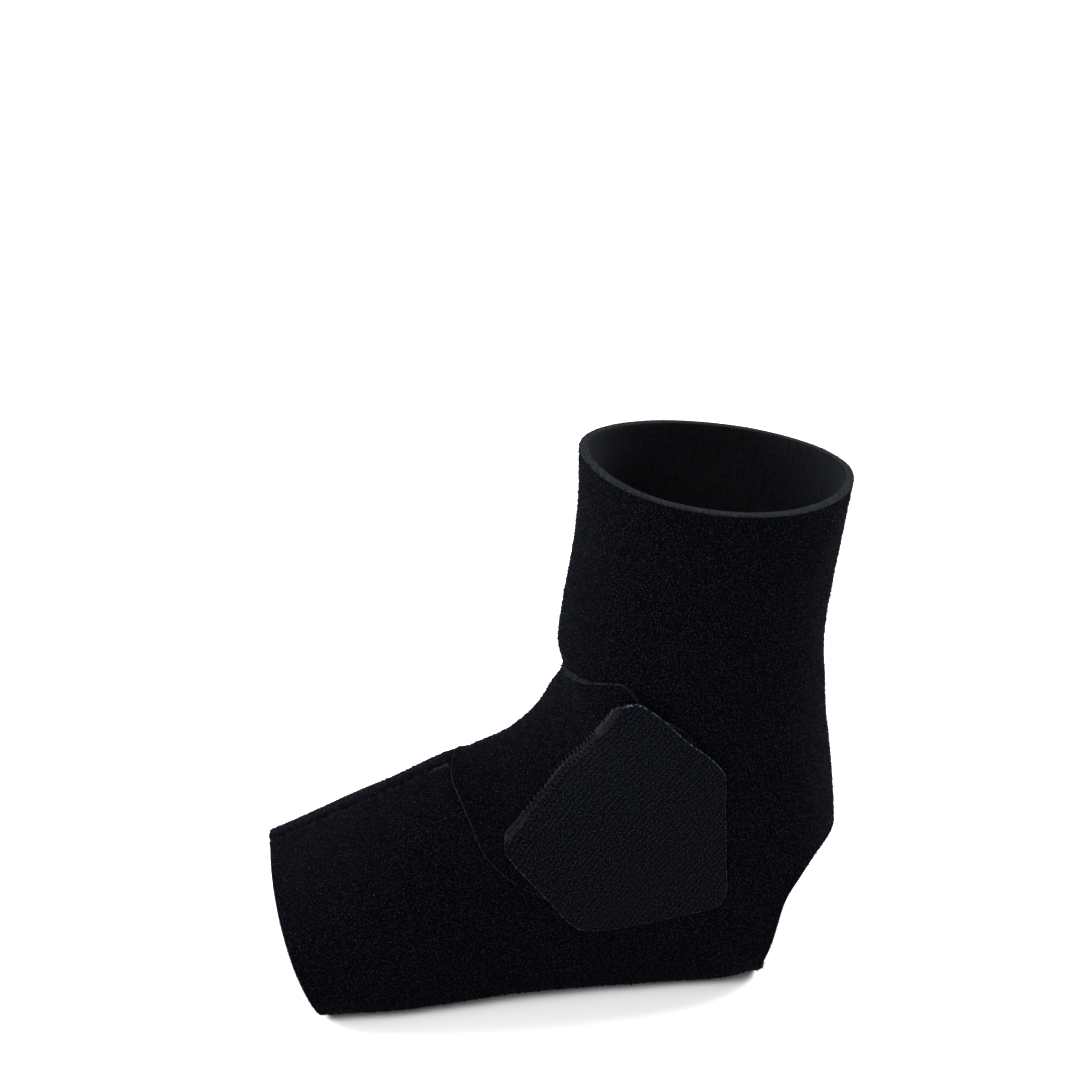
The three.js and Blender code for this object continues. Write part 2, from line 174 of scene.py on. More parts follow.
def outer_skin(node):
    """Points and faces of the outer side of a CAD wall."""
    bm = bmesh.new()
    bm.from_mesh(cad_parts[node].data)
    bmesh.ops.remove_doubles(bm, verts=bm.verts, dist=MERGE)
    bmesh.ops.join_triangles(bm, faces=bm.faces, angle_face_threshold=JOIN_ANGLE,
                             angle_shape_threshold=math.pi)
    bm.verts.index_update()
    bm.faces.index_update()
    sides = []
    left = set(bm.faces)
    while left:
        side = [left.pop()]
        for face in side:
            for edge in face.edges:
                if len(edge.link_faces) != 2 or edge.calc_face_angle() > WALL_CORNER:
                    continue
                fresh = [other for other in edge.link_faces if other in left]
                left.difference_update(fresh)
                side.extend(fresh)
        sides.append(side)

    def outwards(side):
        centre = Vector(INSIDE)
        return sum(f.calc_area() * f.normal.dot(f.calc_center_median() - centre) for f in side)

    side = sorted(max(sides, key=outwards), key=lambda face: face.index)
    corners = sorted({vert.index for face in side for vert in face.verts})
    number = {index: i for i, index in enumerate(corners)}
    bm.verts.ensure_lookup_table()
    points = np.array([bm.verts[index].co for index in corners])
    faces = [[number[vert.index] for vert in face.verts] for face in side]
    bm.free()
    return points, faces


def refined(points, faces, levels, plain=0):
    """A skin subdivided to a smooth one, first by plain levels that keep its corners."""
    mesh = bpy.data.meshes.new("rough")
    mesh.from_pydata(points.tolist(), [], faces)
    rough = bpy.data.objects.new("rough", mesh)
    bpy.context.scene.collection.objects.link(rough)
    for kind, amount in (("SIMPLE", plain), ("CATMULL_CLARK", levels)):
        finer = rough.modifiers.new(kind, "SUBSURF")
        finer.subdivision_type = kind
        finer.levels = amount
        finer.render_levels = amount
    fine = rough.evaluated_get(bpy.context.evaluated_depsgraph_get()).to_mesh()
    places = np.empty(len(fine.vertices) * 3)
    quads = np.empty(len(fine.loops), int)
    fine.vertices.foreach_get("co", places)
    fine.loops.foreach_get("vertex_index", quads)
    bpy.data.objects.remove(rough)
    bpy.data.meshes.remove(mesh)
    return places.reshape(-1, 3), quads.reshape(-1, 4)


def unit(vectors):
    """Vectors scaled to length one."""
    return vectors / np.maximum(np.linalg.norm(vectors, axis=-1, keepdims=True), 1e-12)


def crosses(points, quads):
    """Normal of each quad, twice as long as the quad's area."""
    a, b, c, d = (points[quads[:, i]] for i in range(4))
    return np.cross(c - a, d - b)


def normals_of(points, quads):
    """Normal of a skin at each point."""
    across = crosses(points, quads)
    total = np.zeros_like(points)
    for i in range(4):
        np.add.at(total, quads[:, i], across)
    return unit(total)


def directed_edges(quads):
    """Every edge of every quad, in the quad's own direction."""
    return np.concatenate([quads[:, [i, (i + 1) % 4]] for i in range(4)])


def border_edges(quads):
    """The edges that only one quad has."""
    edges = directed_edges(quads)
    size = quads.max() + 1
    keys = edges[:, 0] * size + edges[:, 1]
    back = edges[:, 1] * size + edges[:, 0]
    return edges[~np.isin(keys, back)]


def evened(values, quads, rounds):
    """Values at the points of a skin, averaged with their neighbours."""
    edges = directed_edges(quads)
    count = np.bincount(edges[:, 0], minlength=len(values)).astype(float)
    for _ in range(rounds):
        near = np.bincount(edges[:, 0], weights=values[edges[:, 1]], minlength=len(values))
        values = 0.5 * values + 0.5 * near / np.maximum(count, 1)
    return values


def tree_of(points, faces):
    """A skin that rays can be cast on."""
    return BVHTree.FromPolygons(points.tolist(), faces.tolist())


def tree_of_mesh(mesh):
    """The mesh of a piece or of a CAD node, for rays to be cast on."""
    return BVHTree.FromPolygons([v.co for v in mesh.vertices], [p.vertices for p in mesh.polygons])


def trees_of(names):
    """Pieces that were made before, for rays to be cast on."""
    return [tree_of_mesh(bpy.data.objects[name].data) for name in names]


def height_over(points, normals, trees):
    """Height of each point over the highest thing below it; NaN where there is none."""
    heights = np.full(len(points), np.nan)
    for i, (point, normal) in enumerate(zip(points, normals)):
        start = Vector(point + normal * PROBE)
        reach = [tree.ray_cast(start, Vector(-normal), 2 * PROBE)[3] for tree in trees]
        reach = [distance for distance in reach if distance is not None]
        if reach:
            heights[i] = min(reach) - PROBE
    return heights


def settled(points, quads, trees, least, most, rounds):
    """A skin laid between two heights over what is below it, and its height there."""
    normals = normals_of(points, quads)
    height = height_over(points, normals, trees)
    gaps = np.isnan(height)
    height = np.where(gaps, most, height)
    drop = height - np.clip(height, least, most)
    even = evened(drop, quads, rounds)
    for _ in range(STIFFNESS):
        even = evened(np.minimum(even, drop), quads, rounds)
    return points - normals * even[:, None], np.maximum(height - even, THINNEST * least)


def nearest(points, targets):
    """Number of the target that is nearest to each point, and its distance."""
    tree = KDTree(len(targets))
    for i, target in enumerate(targets):
        tree.insert(target, i)
    tree.balance()
    numbers, distances = zip(*(tree.find(point)[1:] for point in points))
    return np.array(numbers), np.array(distances)


def lumps(points, size, shift):
    """Soft noise from -1 to 1 with bumps of a given size."""
    offset = Vector((shift, shift, shift))
    return np.array([noise.noise(Vector(point) / size + offset) for point in points])


def smoothstep(low, high, values):
    """0 below low, 1 above high, and smooth between."""
    share = np.clip((values - low) / (high - low), 0, 1)
    return share * share * (3 - 2 * share)


class Nudge(NamedTuple):
    """A short pull near a place, which fades out over its reach, in millimetres."""

    place: tuple
    reach: float
    move: tuple


def nudged(points, nudges):
    """Points moved by nudges."""
    moved = points.copy()
    for nudge in nudges:
        away = np.linalg.norm(points - np.array(nudge.place) * MM, axis=1)
        share = np.exp(-(away / (nudge.reach * MM)) ** 2)
        moved += share[:, None] * np.array(nudge.move) * MM
    return moved


def wall_of(points, quads, thickness, swelling):
    """Closed cloth under a skin: points, faces, depth of each point, and side of each face."""
    normals = normals_of(points, quads)
    count = len(points)
    thickness = np.broadcast_to(thickness, count)[:, None]
    edges = border_edges(quads)
    rim = np.unique(edges)
    ring = np.full(count, -1)
    ring[rim] = np.arange(len(rim))
    steps = points[edges[:, 1]] - points[edges[:, 0]]
    along = np.zeros_like(points)
    np.add.at(along, edges[:, 0], steps)
    np.add.at(along, edges[:, 1], steps)
    outwards = unit(np.cross(along, normals))[rim]
    layers = [points, points - normals * thickness]
    depths = [np.zeros(count), np.ones(count)]
    rows = [edges]
    for swell, depth in CUT_EDGE:
        rows.append(ring[edges] + 2 * count + len(rim) * (len(layers) - 2))
        layers.append(points[rim] + outwards * swelling * swell - (normals * thickness * depth)[rim])
        depths.append(np.full(len(rim), depth))
    rows.append(edges + count)
    strips = [np.stack([up[:, 1], up[:, 0], low[:, 0], low[:, 1]], axis=1)
              for up, low in zip(rows, rows[1:])]
    faces = np.concatenate([quads, quads[:, ::-1] + count, *strips])
    sides = np.full(len(faces), EDGE)
    sides[:len(quads)] = OUTER
    sides[len(quads):2 * len(quads)] = INNER
    return np.concatenate(layers), faces, np.concatenate(depths), sides


def new_piece(name, points, faces, materials, sides=None, attributes=None, smooth=True):
    """A mesh object of the wrap, riding on its one body."""
    mesh = bpy.data.meshes.new(name)
    mesh.from_pydata(points.tolist(), [], faces if isinstance(faces, list) else faces.tolist())
    for material in materials:
        mesh.materials.append(material)
    mesh.polygons.foreach_set("use_smooth", np.full(len(faces), smooth))
    if sides is not None:
        mesh.polygons.foreach_set("material_index", np.asarray(sides, np.int32))
    for label, values in (attributes or {}).items():
        layer = mesh.attributes.new(label, "FLOAT", "POINT")
        layer.data.foreach_set("value", np.asarray(values, np.float32))
    mesh.update()
    piece = bpy.data.objects.new(name, mesh)
    bpy.context.scene.collection.objects.link(piece)
    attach(piece, BODY)
    return piece


def side_of(name, side):
    """Points of a piece that was made before, and the quads of one of its sides."""
    mesh = bpy.data.objects[name].data
    points = np.array([v.co for v in mesh.vertices])
    return points, np.array([p.vertices for p in mesh.polygons if p.material_index == side])


# Materials

class Look:
    """A material in the making: its nodes, its shader and short ways to add to them."""

    def __init__(self, name, constants):
        self.material = bpy.data.materials.new(name)
        self.material.use_nodes = True
        self.tree = self.material.node_tree
        self.tree.nodes.clear()
        self.shader = self.add("BsdfPrincipled", constants)
        self.add("OutputMaterial", {"Surface": self.shader.outputs["BSDF"]})

    def add(self, kind, inputs=None, **settings):
        """A new node with its settings, its input values and the links into it."""
        node = self.tree.nodes.new("ShaderNode" + kind)
        for name, value in settings.items():
            setattr(node, name, value)
        for socket, value in (inputs or {}).items():
            if isinstance(value, bpy.types.NodeSocket):
                self.tree.links.new(value, node.inputs[socket])
            else:
                node.inputs[socket].default_value = value
        return node

    def place(self, **inputs):
        """The object's own coordinates, turned or stretched."""
        place = self.add("TexCoord").outputs["Object"]
        return self.add("Mapping", {"Vector": place, **inputs}).outputs["Vector"] if inputs else place

    def noise(self, scale, detail, roughness=0.5, place=None, dimensions="3D"):
        """Noise over the object's coordinates, or over a given place."""
        inputs = {"Vector": place or self.place(), "Scale": scale, "Detail": detail,
                  "Roughness": roughness}
        return self.add("TexNoise", inputs, noise_dimensions=dimensions).outputs["Fac"]

    def attribute(self, name):
        """A value that the mesh holds at its points."""
        return self.add("Attribute", attribute_name=name).outputs["Fac"]

    def math(self, operation, *values):
        """Values worked out by one of the math node's operations."""
        return self.add("Math", dict(enumerate(values)), operation=operation).outputs[0]

    def ranged(self, value, source=(0.0, 1.0), target=(0.0, 1.0), kind="LINEAR"):
        """A value taken from one range to another."""
        ends = dict(zip(("From Min", "From Max", "To Min", "To Max"), (*source, *target)))
        return self.add("MapRange", {"Value": value, **ends}, interpolation_type=kind).outputs["Result"]

    def mixed(self, share, first, last):
        """A colour between two."""
        return self.add("Mix", {"Factor": share, 6: first, 7: last}, data_type="RGBA").outputs[2]

    def scaled(self, tone, share):
        """A colour made darker or brighter."""
        return self.add("VectorMath", {0: tone, "Scale": share}, operation="SCALE").outputs["Vector"]

    def finish(self, tone, bump=None, **settings):
        """The material with its colour and, from the inputs of a bump node, its relief."""
        self.tree.links.new(tone, self.shader.inputs["Base Color"])
        if bump:
            relief = self.add("Bump", bump, **settings).outputs["Normal"]
            self.tree.links.new(relief, self.shader.inputs["Normal"])
        return self.material


def per_mm(size):
    """Scale of a pattern whose marks are that many millimetres across."""
    return 1 / (size * MM)


LOOP_SIZE = 0.5  # mm across a loop, drawn coarser than the real pile so that it shows
LOOP_HEIGHT = 0.5 * MM
LOOP_LIT = (0.5, 0.7)  # noise at which a loop begins to catch the light, and catches it all
PILE_FINISH = {"Roughness": 1.0, "Sheen Weight": 0.005, "Sheen Roughness": 0.32,
               "Specular IOR Level": 0.01}
TIP_SHEEN = 0.2
SEAM_LINE = 1.3  # mm from the seam's line to where the crease's dent and its painted shade end
SEAM_SHADE = 0.65  # share of the pile's tone that the painted shade in the crease takes away
SEAM_BARE = 0.9  # mm from the seam's line to the first loops that stand up
SEAM_DENT = 0.6 * MM


def loop_pile_neoprene(colours, seamed=False):
    """Nylon loop pile on neoprene, brushed: matt and near black, grained by loops that catch the
    light, with a cold bloom where it turns away from the eye. The sleeve's has a sewn crease,
    dented and darkened by painted shade."""
    name = "loop_pile_neoprene_seam_shaded" if seamed else "loop_pile_neoprene"
    look = Look(name, {**PILE_FINISH, "Sheen Tint": colours.bloom})
    loops = look.noise(per_mm(LOOP_SIZE), detail=2.0, roughness=0.65)
    tone = look.mixed(look.ranged(loops, LOOP_LIT, kind="SMOOTHSTEP"), colours.pile, colours.loops)
    bump = {"Height": loops, "Distance": LOOP_HEIGHT}
    if seamed:
        # painted shade: the pile is darkened towards the seam's line, in its crease; the same share
        # dents it
        away = look.math("ABSOLUTE", look.attribute("seam"))
        clear = look.ranged(away, (0.0, SEAM_LINE), (1 - SEAM_SHADE, 1.0), "SMOOTHSTEP")
        tone = look.scaled(tone, clear)
        pile = look.add("Bump", bump).outputs["Normal"]
        bump = {"Height": clear, "Distance": SEAM_DENT, "Normal": pile}
    return look.finish(tone, bump)


def loop_tips(colours):
    """Single loops and fibres that stand out of the pile: black at the root, and paler at the top by
    painted light, as if the tips caught it.
    """
    look = Look("nylon_loop_tips",
                {**PILE_FINISH, "Sheen Weight": TIP_SHEEN, "Sheen Tint": colours.bloom})
    return look.finish(look.mixed(look.attribute("tip"), colours.pile, colours.tips))


FOAM_CELL = 0.6  # mm, coarser than real cells so that they show
FUZZ_CELL = 1.6  # mm from tuft to tuft where pile hides the foam of a pressed edge
CELL_WEAR = 0.16  # how far the cells push the borders of the layers about
CELL_NOISE = (0.35, 0.65)  # noise in the darkest and in the palest cells, and their shades
CELL_SHADES = (0.2, 1.6)
CELL_HEIGHT = 0.2 * MM
EDGE_LAYERS = (0.06, 0.2, 0.86, 0.96)  # depths where pile ends, foam begins and ends, lining begins


def cut_neoprene(name, foam, cell, colours):
    """Cut edge of the laminate: black pile, then grey closed-cell foam, then the thin lining."""
    look = Look(name, {"Roughness": 0.9, "Specular IOR Level": 0.05})
    cells = look.noise(per_mm(cell), detail=2.0)
    worn = look.math("MULTIPLY_ADD", cells, CELL_WEAR, look.attribute("depth"))
    layers = look.add("ValToRGB", {"Fac": worn})
    stops = layers.color_ramp.elements
    for depth, tint in zip(EDGE_LAYERS, (colours.loops, foam, foam, colours.lining)):
        stops.new(depth).color = tint
    for end in (len(stops) - 1, 0):
        stops.remove(stops[end])
    tone = look.scaled(layers.outputs["Color"], look.ranged(cells, CELL_NOISE, CELL_SHADES))
    return look.finish(tone, {"Height": cells, "Strength": 0.5, "Distance": CELL_HEIGHT})


WALE = 1.1  # mm from wale to wale of the knit, drawn coarser than real so that it shows
WALE_STRETCH = 2.2  # a stitch is this much longer than wide
WALE_REACH = (0.0, 0.7)  # from the middle of a stitch to its rim, and the shades there
WALE_SHADES = (1.5, 0.6)
WALE_HEIGHT = 0.25 * MM


def jersey_lining(colours):
    """Knitted nylon jersey glued inside: smooth, with fine upright rows of stitches."""
    look = Look("jersey_lining", {"Roughness": 0.9, "Sheen Weight": 0.02, "Sheen Roughness": 0.5,
                                  "Sheen Tint": colours.bloom, "Specular IOR Level": 0.05})
    knit = look.place(Scale=(1, 1, 1 / WALE_STRETCH))
    loops = look.add("TexVoronoi", {"Vector": knit, "Scale": per_mm(WALE), "Randomness": 0.55})
    away = loops.outputs["Distance"]
    tone = look.scaled(colours.lining[:3], look.ranged(away, WALE_REACH, WALE_SHADES))
    return look.finish(tone, {"Height": away, "Strength": 0.5, "Distance": WALE_HEIGHT}, invert=True)


RIB_PITCH = 1.55  # mm from rib to rib, drawn coarser than real so that they show
RIB_TURN = math.radians(52)  # the ribs run along the tab's stitched edge
RIB_SHARE = 0.09  # how much they count beside the yarns' own specks
RIB_HEIGHT = 0.4 * MM
YARN_SIZE = 0.6  # mm across a speck, coarser than real too
YARN_LIT = (0.5, 0.74)  # height at which a yarn begins to catch the light, and catches it all
WAVE_PERIOD = math.pi / 10  # of a wave texture at scale 1


def woven_hook_tape(colours):
    """Back of woven nylon hook tape: fine slanting ribs, specked by the yarns' tops, a little
    glossier than the pile around it."""
    look = Look("woven_hook_tape", {"Roughness": 0.8, "Sheen Weight": 0.012, "Sheen Roughness": 0.4,
                                    "Sheen Tint": colours.bloom, "Specular IOR Level": 0.01})
    turned = look.place(Rotation=(0, RIB_TURN, 0))
    ribs = look.add("TexWave", {"Vector": turned, "Scale": WAVE_PERIOD * per_mm(RIB_PITCH),
                                "Distortion": 2.5, "Detail": 2.0, "Detail Scale": 1.5},
                    bands_direction="Z")
    flat = look.place(Rotation=(math.pi / 2, 0, 0))
    yarns = look.noise(per_mm(YARN_SIZE), detail=2.0, roughness=0.6, place=flat, dimensions="2D")
    raised = look.math("MULTIPLY_ADD", ribs.outputs["Fac"], RIB_SHARE, yarns)
    tone = look.mixed(look.ranged(raised, YARN_LIT, kind="SMOOTHSTEP"), colours.tape, colours.ribs)
    return look.finish(tone, {"Height": raised, "Strength": 0.8, "Distance": RIB_HEIGHT})


BEAD_SIZE = 1.0  # mm across a bead of molten nylon, each with a painted glint
BEAD_NOISE = (0.46, 0.64)  # noise between the beads and on them, and the shares of the painted highlight there
BEAD_GLINTS = (0.05, 1.4)
BOUND_SHADE = 0.15  # share of the edge's tone that is left where thread binds it


def sealed_tape_edge(colours):
    """Edge of the hook tape, cut hot: the nylon has run together in beads. Its pale colour is a painted
    highlight, beaded by noise, over a little real shine.
    """
    look = Look("sealed_nylon_edge_highlight", {"Roughness": 0.7, "Specular IOR Level": 0.04})
    bead_glints = look.ranged(look.noise(per_mm(BEAD_SIZE), detail=1.0), BEAD_NOISE, BEAD_GLINTS)
    bare = look.ranged(look.attribute("sewn"), target=(1.0, BOUND_SHADE))
    return look.finish(look.scaled(colours.tape_edge_highlight[:3], look.math("MULTIPLY", bead_glints, bare)))


TWIST_SIZE = 0.5  # mm from strand to strand of a thread
TWIST_SHADES = (0.4, 1.6)


def polyester_thread(name, tint):
    """Twisted polyester thread: smoother than the pile, so it glints along its top."""
    look = Look(name, {"Roughness": 0.6, "Specular IOR Level": 0.05})
    twist = look.noise(per_mm(TWIST_SIZE), detail=1.0)
    return look.finish(look.scaled(tint[:3], look.ranged(twist, target=TWIST_SHADES)))


# The sleeve

SLEEVE_LEVELS = 2
SEAM_TOE = (-101.0 * MM, 14.2 * MM)  # x and y where the forefoot seam starts
SEAM_END = (-37.5 * MM, 0.6 * MM)  # and where it dies out before the strap
SEAM_FADE = 2 * MM
SEAM_TOP = 0.35  # the seam lies where the normal's upward share is more than this
SEAM_LOWEST = 25 * MM  # and above this height
FAR_FROM_SEAM = 100
PILLOW_OFF = 3.5 * MM
PILLOW_WIDTH = 2.5 * MM
SWELL_OUT = 5.5 * MM  # reach of the swelling beside the strap
SWELL_UNDER = 3.0 * MM  # and under its edge
SWELL_FRONT = (-0.1, 0.7)  # how far the cloth faces up and forwards where it starts and is full
SWELL_SIDES = 0.1  # share of the swelling that is left at the sleeve's sides
SWELL_FULL = 86 * MM  # it is full below this height, at the strap's front edge,
SWELL_NONE = 100 * MM  # and there is none above this one, in the bend of the ankle
LUMP_SIZE = 20 * MM
SMALL_LUMP_SIZE = 7 * MM
SMALL_LUMP = 0.3  # share of the large lumps
LUMP_SHIFT = 3.0  # where in the noise the sleeve's lumps lie
SMALL_LUMP_SHIFT = 11.0
PRINT_ROUNDS = 2  # how much the strap's print is evened out
HEEL_FROM = 60 * MM  # the rim behind this and below the next is the heel opening
HEEL_BELOW = 80 * MM
SLEEVE_NUDGES = (  # at the lower corners of the heel opening
    Nudge((67.0, -28.0, 1.0), 6.5, (3.5, 0.0, 3.5)),
    Nudge((67.0, 28.0, 1.0), 6.5, (3.5, 0.0, 3.5)),
)
RIM_ROUNDS = 25  # how much the cut of the heel opening is evened out
RIM_REACH = 8 * MM


def seam_line(along):
    """y of the forefoot seam at places along the sleeve."""
    share = (along - SEAM_TOE[0]) / (SEAM_END[0] - SEAM_TOE[0])
    return SEAM_TOE[1] + share * (SEAM_END[1] - SEAM_TOE[1])


def seam_side(points):
    """Distance in mm from the forefoot seam, and a far one where there is no seam."""
    off_seam = smoothstep(SEAM_END[0] - SEAM_FADE, SEAM_END[0] + SEAM_FADE, points[:, 0])
    off_seam = np.maximum(off_seam, points[:, 2] < SEAM_LOWEST)
    return (points[:, 1] - seam_line(points[:, 0])) / MM + FAR_FROM_SEAM * off_seam


def seam_relief(points, normals, sizes):
    """Crease of the forefoot seam, with the cloth puffed up on both sides of it."""
    side = points[:, 1] - seam_line(points[:, 0])
    crease = -sizes.seam_depth * np.exp(-(side / sizes.seam_width) ** 2)
    pillow = sizes.seam_pillow * np.exp(-((np.abs(side) - PILLOW_OFF) / PILLOW_WIDTH) ** 2)
    on_top = smoothstep(0.0, SEAM_TOP, normals[:, 2])
    before_strap = smoothstep(SEAM_END[0] + SEAM_FADE, SEAM_END[0] - SEAM_FADE, points[:, 0])
    return (crease + pillow) * on_top * before_strap


def strap_relief(points, quads, normals, sizes):
    """The strap's print on the sleeve: flush under the strap, and swollen beside its edges."""
    strap, strap_quads = strap_outline()
    cover = tree_of(strap, strap_quads)
    ground = tree_of(points, quads)
    edge = strap[np.unique(border_edges(strap_quads))]
    foot = np.array([ground.find_nearest(place)[0] for place in edge])
    away = nearest(points, foot)[1]
    under = np.array([cover.ray_cast(Vector(p), Vector(n), PROBE)[0] is not None
                      for p, n in zip(points, normals)])
    front = smoothstep(*SWELL_FRONT, normals[:, 2] - normals[:, 0])
    below = smoothstep(SWELL_NONE, SWELL_FULL, points[:, 2])
    swell = sizes.strap_swell * below * (SWELL_SIDES + (1 - SWELL_SIDES) * front)
    close = np.exp(-(away / np.where(under, SWELL_UNDER, SWELL_OUT)) ** 2)
    flush = np.where(under, sizes.cad_gap - sizes.touch, 0)
    return flush * (1 - close) + swell * close


def even_heel(points, quads):
    """The sleeve's skin with the cut of its heel opening made smooth."""
    edges = border_edges(quads)
    middle = points[edges].mean(axis=1)
    edges = edges[(middle[:, 0] > HEEL_FROM) & (middle[:, 2] < HEEL_BELOW)]
    rim = np.unique(edges)
    smooth = points.copy()
    for _ in range(RIM_ROUNDS):
        near = np.zeros_like(points)
        count = np.zeros(len(points))
        for here, there in (edges.T, edges.T[::-1]):
            np.add.at(near, here, smooth[there])
            np.add.at(count, here, 1)
        inner = rim[count[rim] == 2]
        smooth[inner] = 0.5 * smooth[inner] + 0.25 * near[inner]
    closest, away = nearest(points, points[rim])
    share = np.maximum(1 - away / RIM_REACH, 0)
    return points + (smooth - points)[rim[closest]] * share[:, None]


def sleeve_skin(sizes):
    """Outer skin of the sleeve as worn."""
    points, quads = refined(*outer_skin("sleeve"), SLEEVE_LEVELS)
    points = nudged(even_heel(points, quads), SLEEVE_NUDGES)
    normals = normals_of(points, quads)
    uneven = lumps(points, LUMP_SIZE, LUMP_SHIFT)
    uneven = uneven + SMALL_LUMP * lumps(points, SMALL_LUMP_SIZE, SMALL_LUMP_SHIFT)
    relief = seam_relief(points, normals, sizes) + sizes.lump * uneven
    relief = relief + evened(strap_relief(points, quads, normals, sizes), quads, PRINT_ROUNDS)
    points = points + normals * relief[:, None]
    points[:, 2] = np.maximum(points[:, 2], 0)
    return points, quads


class WRAP_OT_sleeve(bpy.types.Operator):
    """Make the sleeve's cloth, with its seam, the strap's print and its cut edges"""

    bl_idname = "wrap.sleeve"
    bl_label = "Sleeve"

    def execute(self, context):
        sizes = context.scene.wrap_sizes
        colours = context.scene.wrap_colours
        points, quads = sleeve_skin(sizes)
        points, faces, depths, sides = wall_of(points, quads, sizes.wall, sizes.edge_round)
        points[:, 2] = np.maximum(points[:, 2], 0)
        cut = cut_neoprene("cut_neoprene_foam", colours.foam, FOAM_CELL, colours)
        finish = [loop_pile_neoprene(colours, seamed=True), cut, jersey_lining(colours)]
        attributes = {"depth": depths, "seam": seam_side(points)}
        piece = new_piece(SLEEVE, points, faces, finish, sides, attributes)
        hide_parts("sleeve")
        return {"FINISHED"}


# The instep strap

STRAP_LEVELS = 3
STRAP_TAPER = 0.45  # how fast it thickens from its pressed edges
STRAP_LUMPS = 0.6  # share of the sleeve's lumps
STRAP_LUMP_SHIFT = 5.0
DEEPEST_FOLD = 0.5  # share of the strap's thickness
STRAP_NUDGES = (  # along the strap's edge
    Nudge((-34.0, -9.0, 76.0), 10.0, (-2.2, 0.0, -0.8)),
    Nudge((-32.0, -21.0, 70.0), 9.0, (-0.8, 0.0, -0.4)),
    Nudge((-20.0, -38.0, 50.0), 8.0, (0.6, 0.0, 0.6)),
    Nudge((-10.0, -40.0, 42.0), 10.0, (0.6, 0.0, 2.4)),
    Nudge((1.0, -6.0, 111.0), 15.0, (2.6, 0.0, 5.2)),
    Nudge((17.0, -32.0, 117.0), 9.0, (0.5, 0.0, 2.2)),
    Nudge((20.0, -35.0, 119.0), 4.0, (0.0, 0.0, 1.4)),
    Nudge((26.0, -38.0, 119.0), 6.0, (-1.2, 0.0, -0.8)),
    Nudge((35.0, -40.0, 114.0), 10.0, (-2.9, 0.0, -4.2)),
    Nudge((47.0, -40.0, 99.0), 9.0, (-2.0, 0.0, -1.6)),
)
FOLD_ACROSS = np.array((0.707, 0.0, 0.707))  # the strap's width runs this way
STRAP_FOLDS = (
    # place across the strap, half width and height of a soft fold along it, in mm
    {"place": 47.0, "width": 7.0, "height": 0.9},
    {"place": 63.0, "width": 6.0, "height": -0.8},
    {"place": 78.0, "width": 6.0, "height": 0.9},
)
FOLD_FROM = -26 * MM  # the folds show on the outer side and die out behind the instep
FOLD_TO = 12 * MM


def strap_outline():
    """Outer skin of the strap, with its edges drawn as it was pulled tight."""
    points, quads = refined(*outer_skin("instep_strap"), STRAP_LEVELS)
    return nudged(points, STRAP_NUDGES), quads


def strap_folds(points):
    """Soft folds along the strap where it comes over the instep."""
    across = points @ FOLD_ACROSS
    folds = 0
    for fold in STRAP_FOLDS:
        off = (across - fold["place"] * MM) / (fold["width"] * MM)
        folds = folds + fold["height"] * MM * np.exp(-off ** 2)
    return folds * smoothstep(FOLD_TO, FOLD_FROM, points[:, 1])


class WRAP_OT_strap(bpy.types.Operator):
    """Make the strap's cloth, sunk in the sleeve at its edges and thinned under the tab"""

    bl_idname = "wrap.strap"
    bl_label = "Instep strap"

    def execute(self, context):
        sizes = context.scene.wrap_sizes
        colours = context.scene.wrap_colours
        points, quads = strap_outline()
        solid = tree_of_mesh(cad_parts["sleeve"].data)
        tip = height_over(points, normals_of(points, quads), [solid]) - sizes.cad_gap
        from_edge = nearest(points, points[np.unique(border_edges(quads))])[1]
        taper = np.minimum(sizes.strap_edge + STRAP_TAPER * from_edge, sizes.wall)
        most = np.clip(np.where(np.isnan(tip), sizes.wall, tip), sizes.tab, taper)
        least = np.minimum(most, sizes.tab)
        points, height = settled(points, quads, trees_of([SLEEVE]), least + sizes.touch,
                                 most + sizes.touch, SETTLE_ROUNDS)
        thickness = height - sizes.touch
        uneven = lumps(points, LUMP_SIZE, STRAP_LUMP_SHIFT)
        relief = strap_folds(points) + STRAP_LUMPS * sizes.lump * uneven
        relief = np.maximum(relief * np.clip(thickness / sizes.wall, 0, 1), -DEEPEST_FOLD * thickness)
        points = points + normals_of(points, quads) * relief[:, None]
        points, faces, depths, sides = wall_of(points, quads, thickness + relief, sizes.strap_round)
        cut = cut_neoprene("pressed_neoprene_edge", colours.pressed, FUZZ_CELL, colours)
        lining = bpy.data.objects[SLEEVE].data.materials[INNER]
        finish = [loop_pile_neoprene(colours), cut, lining]
        piece = new_piece(STRAP, points, faces, finish, sides, {"depth": depths})
        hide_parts("instep_strap")
        return {"FINISHED"}


# The hook tab

